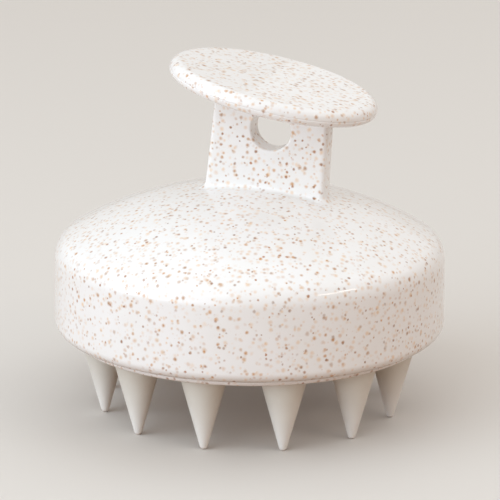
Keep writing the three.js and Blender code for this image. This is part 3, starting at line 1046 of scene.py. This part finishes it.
@dataclass
class BristleRing:
    """One ring of silicone bristles, and the seats in the base plate that their round roots rock in."""

    name: str
    count: int
    radius: float
    tip: float
    tip_radius: float
    root_height: float = 20 * MM
    swell: float = 0.4 * MM
    crown: float = 2.5 * MM
    cone: float = math.radians(15.2)
    wall: float = 1.7 * MM
    gap: float = 0.3 * MM
    contact: float = 1.6 * MM
    seat_chamfer: float = 0.25 * MM
    seat_reach: float = 1 * MM
    segments: int = 56
    tip_steps: int = 10
    cone_rows: int = 10
    root_steps: int = 14
    crisp: float = math.radians(50)

    def root_radius(self) -> float:
        """Radius of the round root, which swells past the cone's side."""
        return self.tip_radius + (self.root_height - self.tip - self.tip_radius) * math.sin(self.cone) + self.swell

    def seat_radius(self, height: float) -> float:
        """Half width of the tapered seat at a height.

        Args:
            height: Height below the root's centre.

        Returns:
            The seat's radius there.
        """
        clear = self.root_radius() + self.gap
        taper = math.asin(self.contact / clear)
        return (clear - (self.root_height - height) * math.sin(taper)) / math.cos(taper)

    def profile(self) -> list[Point2]:
        """Half section: a ball tip, a cone, a round root and the hollow inside.

        Returns:
            Radius and height points, from the tip up and back down the hollow.
        """
        root, side = self.root_radius(), QUARTER_TURN + self.cone
        tip = arc((0, self.tip + self.tip_radius), self.tip_radius, math.pi, side, self.tip_steps)
        low, high = side + math.acos((root - self.swell) / root), math.acos(self.crown / root)
        ball = arc((0, self.root_height), root, low, high, self.root_steps)
        (x, z), (far_x, far_z) = tip[-1], ball[0]
        shares = (i / self.cone_rows for i in range(1, self.cone_rows))
        cone = [(x + (far_x - x) * share, z + (far_z - z) * share) for share in shares]
        top, floor = self.root_height + self.crown, (self.tip + self.root_height) / 2
        mouth = root * math.sin(high) - self.wall
        floor_radius = mouth - (top - floor) * math.tan(self.cone)
        return [*tip, *cone, *ball, (mouth, top), (floor_radius, floor), (0, floor)]

    def seats(self, low: float, high: float) -> Object:
        """Tapered plugs that cut this ring's seats in the base plate.

        Args:
            low: Height of the plate's outer face.
            high: Height of its inner face.

        Returns:
            One object with every plug.
        """
        chamfer, bottom, top = self.seat_chamfer, low - self.seat_reach, high + self.seat_reach
        mouth = self.seat_radius(low) + chamfer
        profile = [
            (0, bottom),
            (mouth + self.seat_reach, bottom),
            (mouth, low),
            (self.seat_radius(low + chamfer), low + chamfer),
            (self.seat_radius(top), top),
            (0, top),
        ]
        plug = TurnedShape.make(f"{self.name}_seats", profile, self.segments)
        return CopiesOnCircle.repeat(plug, self.count, self.radius, -QUARTER_TURN)

    def build(self) -> None:
        """Makes each bristle on its own body, the first at -Y."""
        for index in range(self.count):
            node = f"{self.name}_{index + 1:02d}" if self.count > 1 else self.name
            angle = -QUARTER_TURN + FULL_TURN * index / self.count
            foot = (self.radius * math.cos(angle), self.radius * math.sin(angle), 0)
            obj = TurnedShape.make(f"{node}_cone", self.profile(), self.segments, foot, turn=angle)
            hand_over(obj, node, node, Slot.SILICONE, self.crisp)


@dataclass
class BasePlate:
    """The plate that closes the shell from below and carries the bristles' seats."""

    rings: tuple[BristleRing, ...]
    radius: float = 39.6 * MM
    bottom: float = 16.7 * MM
    top: float = 19.2 * MM
    edge: float = 0.8 * MM
    edge_steps: int = 8
    segments: int = 160
    root: float = 18.4 * MM
    hook_count: int = 4
    hook_angle: float = 45
    hook_width: float = 5.4 * MM
    hook_inner: float = 36.7 * MM
    hook_outer: float = 38.2 * MM
    hook_nose: float = 39.4 * MM
    hook_top: float = 27 * MM
    hook_nose_low: float = 25.5 * MM
    boss_count: int = 3
    boss_circle: float = 21.5 * MM
    boss_radius: float = 2.6 * MM
    boss_top: float = 21.1 * MM
    boss_sides: int = 40

    def hooks(self) -> Object:
        """The snap hooks.

        Returns:
            One object with all of them.
        """
        nose_back = self.hook_inner + (self.hook_outer - self.hook_inner) / 3
        corners = [
            (self.hook_inner, self.root),
            (self.hook_outer, self.root),
            (self.hook_outer, self.hook_nose_low),
            (self.hook_nose, self.hook_nose_low),
            (self.hook_outer, self.hook_top),
            (nose_back, self.hook_top),
            (self.hook_inner, self.hook_top - (self.hook_outer - nose_back)),
        ]
        hook = slab("snap_hooks", corners, self.hook_width)
        return CopiesOnCircle.repeat(hook, self.hook_count, first_angle=math.radians(self.hook_angle))

    def bosses(self) -> Object:
        """The screw bosses.

        Returns:
            One object with all of them.
        """
        profile = [(0, self.root), (self.boss_radius, self.root), (self.boss_radius, self.boss_top), (0, self.boss_top)]
        boss = TurnedShape.make("screw_bosses", profile, self.boss_sides)
        return CopiesOnCircle.repeat(boss, self.boss_count, self.boss_circle)

    def build(self) -> None:
        """Makes the plate, joins what stands on it and cuts the seats."""
        centre = (self.radius - self.edge, self.bottom + self.edge)
        edge = arc(centre, self.edge, QUARTER_TURN, math.pi, self.edge_steps)
        profile = [(0, self.top), (self.radius, self.top), *edge, (0, self.bottom)]
        obj = TurnedShape.make("base_plate_moulding", profile, self.segments)
        combine(obj, self.hooks(), Cut.ADD)
        combine(obj, self.bosses(), Cut.ADD)
        for ring in self.rings:
            combine(obj, ring.seats(self.bottom, self.top), Cut.TAKE_AWAY)
        hand_over(obj, "base_plate", BRUSH_BODY, Slot.SPECKLED_PLASTIC)


@dataclass
class RootFixings:
    """The retainer and its screws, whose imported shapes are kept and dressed."""

    retainer: str = "bristle_retainer"
    screws: tuple[str, ...] = ("retainer_screw_1", "retainer_screw_2", "retainer_screw_3")

    def build(self) -> None:
        """Dresses the nodes."""
        dress(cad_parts[self.retainer], Slot.PLAIN_PLASTIC)
        for screw in self.screws:
            dress(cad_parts[screw], Slot.SCREW_STEEL)
        logger.info("%s and %d screws dressed", self.retainer, len(self.screws))


@dataclass(frozen=True)
class Lamp:
    """One soft lamp that looks at the object."""

    name: str
    place: Point3
    width: float
    height: float
    power: float
    tint: str


@dataclass
class Studio:
    """Plain pale floor, soft light and the camera that looks as the photograph does."""

    floor_radius: float = 6.0
    floor_sides: int = 96
    floor_tint: str = "dbd6d0"
    floor_roughness: float = 0.7
    floor_shine: float = 0.2
    bounce_tint: str = "987150"
    sky_tint: str = "fffbf7"
    sky_strength: float = 0.75
    seen_tint: str = "dbd6d0"
    aim: Point3 = (0.0, 0.0, 0.04)
    lamps: tuple[Lamp, ...] = (
        Lamp("key", (-0.43, -0.602, 0.43), 1.1, 1.1, 4.8, "e2f2ff"),
        Lamp("glint", (-0.344, -0.53, 0.569), 0.3, 0.08, 0.2, "e2f2ff"),
        Lamp("low_left", (-0.6, -0.54, 0.16), 0.6, 0.24, 1.25, "e2f2ff"),
        Lamp("low_front", (-0.11, -0.79, 0.16), 0.6, 0.24, 0.4, "e2f2ff"),
        Lamp("right", (0.59, 0.238, 0.676), 0.8, 0.6, 0.8, "f0f8ff"),
        Lamp("back", (0.239, 0.562, 0.768), 1.3, 1.3, 1.15, "f0f8ff"),
        Lamp("streak", (0.705, -0.215, 0.516), 0.36, 0.05, 0.5, "fff0e2"),
    )
    camera_turn: float = math.radians(17)
    camera_distance: float = 573.33 * MM
    camera_height: float = 196.05 * MM
    camera_pitch: float = 0.2742
    camera_roll: float = 0.0078
    camera_range: tuple[float, float] = (0.01, 20.0)
    sensor: float = 36.0
    lens: float = 197.49

    @staticmethod
    def seen_rays(graph: NodeGraph) -> Socket:
        """1 for what the camera sees, itself or in gloss or glass, and 0 for the light on the object.

        Args:
            graph: The floor's or the sky's graph.

        Returns:
            The mask.
        """
        rays = graph.add("ShaderNodeLightPath").outputs
        mirrored = graph.math("MAXIMUM", rays["Is Glossy Ray"], rays["Is Transmission Ray"])
        return graph.math("MAXIMUM", rays["Is Camera Ray"], mirrored)

    def floor(self) -> None:
        """Makes the floor that the bristle tips stand on, which is clear for a camera below it."""
        obj = mesh_object("floor", circle(self.floor_radius, 0.0, self.floor_sides), [range(self.floor_sides)])
        graph = Surface("pale_floor")
        obj.data.materials.append(graph.finish({
            "Base Color": graph.mix_colour(self.seen_rays(graph), self.bounce_tint, self.floor_tint),
            "Roughness": self.floor_roughness,
            "Specular IOR Level": self.floor_shine,
        }))
        clear = graph.add("ShaderNodeBsdfTransparent")
        below = graph.add("ShaderNodeNewGeometry").outputs["Backfacing"]
        through = graph.math("MULTIPLY", below, graph.add("ShaderNodeLightPath").outputs["Is Camera Ray"])
        mixed = graph.add("ShaderNodeMixShader", {0: through, 1: graph.shader.outputs[0], 2: clear.outputs[0]})
        graph.fill(graph.output, {"Surface": mixed.outputs[0]})

    def sky(self) -> None:
        """Lights the object evenly from all round, and gives the camera a pale backdrop."""
        world = bpy.data.worlds.new("studio")
        world.use_nodes = True
        world.node_tree.nodes.clear()
        graph = NodeGraph(world.node_tree)
        light = graph.add("ShaderNodeBackground", {"Color": self.sky_tint, "Strength": self.sky_strength})
        seen = graph.add("ShaderNodeBackground", {"Color": self.seen_tint, "Strength": 1.0})
        inputs = {0: self.seen_rays(graph), 1: light.outputs[0], 2: seen.outputs[0]}
        mixed = graph.add("ShaderNodeMixShader", inputs)
        graph.add("ShaderNodeOutputWorld", {"Surface": mixed.outputs[0]})
        bpy.context.scene.world = world

    def light(self) -> None:
        """Places the lamps."""
        for lamp in self.lamps:
            data = bpy.data.lights.new(lamp.name, "AREA")
            data.shape, data.size, data.size_y = "RECTANGLE", lamp.width, lamp.height
            data.energy, data.color = lamp.power, shade_of(lamp.tint)[:3]
            obj = bpy.data.objects.new(lamp.name, data)
            obj.location = lamp.place
            away = Vector(self.aim) - Vector(lamp.place)
            obj.rotation_euler = away.to_track_quat("-Z", "Y").to_euler()
            bpy.context.scene.collection.objects.link(obj)

    def camera(self) -> None:
        """Places the camera at the photograph's viewing angle."""
        data = bpy.data.cameras.new("camera")
        data.sensor_width, data.lens = self.sensor, self.lens
        data.clip_start, data.clip_end = self.camera_range
        obj = bpy.data.objects.new("camera", data)
        turned = Matrix.Rotation(self.camera_turn, 4, "Z")
        stand = Matrix.Translation((0, -self.camera_distance, self.camera_height))
        tilted = Matrix.Rotation(QUARTER_TURN - self.camera_pitch, 4, "X")
        obj.matrix_world = turned @ stand @ tilted @ Matrix.Rotation(self.camera_roll, 4, "Z")
        bpy.context.scene.collection.objects.link(obj)
        bpy.context.scene.camera = obj

    def build(self) -> None:
        """Sets up the whole studio."""
        for step in (self.camera, self.floor, self.sky, self.light):
            step()
        bpy.context.scene.view_settings.view_transform = "Standard"


def main() -> None:
    """Builds the studio and every piece of the massager."""
    logging.basicConfig(level=logging.INFO, format="%(name)s: %(message)s")
    disc = PalmDisc()
    rings = (
        BristleRing("bristle", 12, 32.1 * MM, 0.0, 0.9 * MM),
        BristleRing("inner_bristle", 6, 16 * MM, 10.2 * MM, 1.2 * MM),
        BristleRing("centre_bristle", 1, 0.0, 12 * MM, 1.5 * MM),
    )
    for assembly in (Studio(), disc, DomeHousing(BodyOutline(), disc), BasePlate(rings), *rings, RootFixings()):
        assembly.build()


if __name__ == "__main__":
    main()
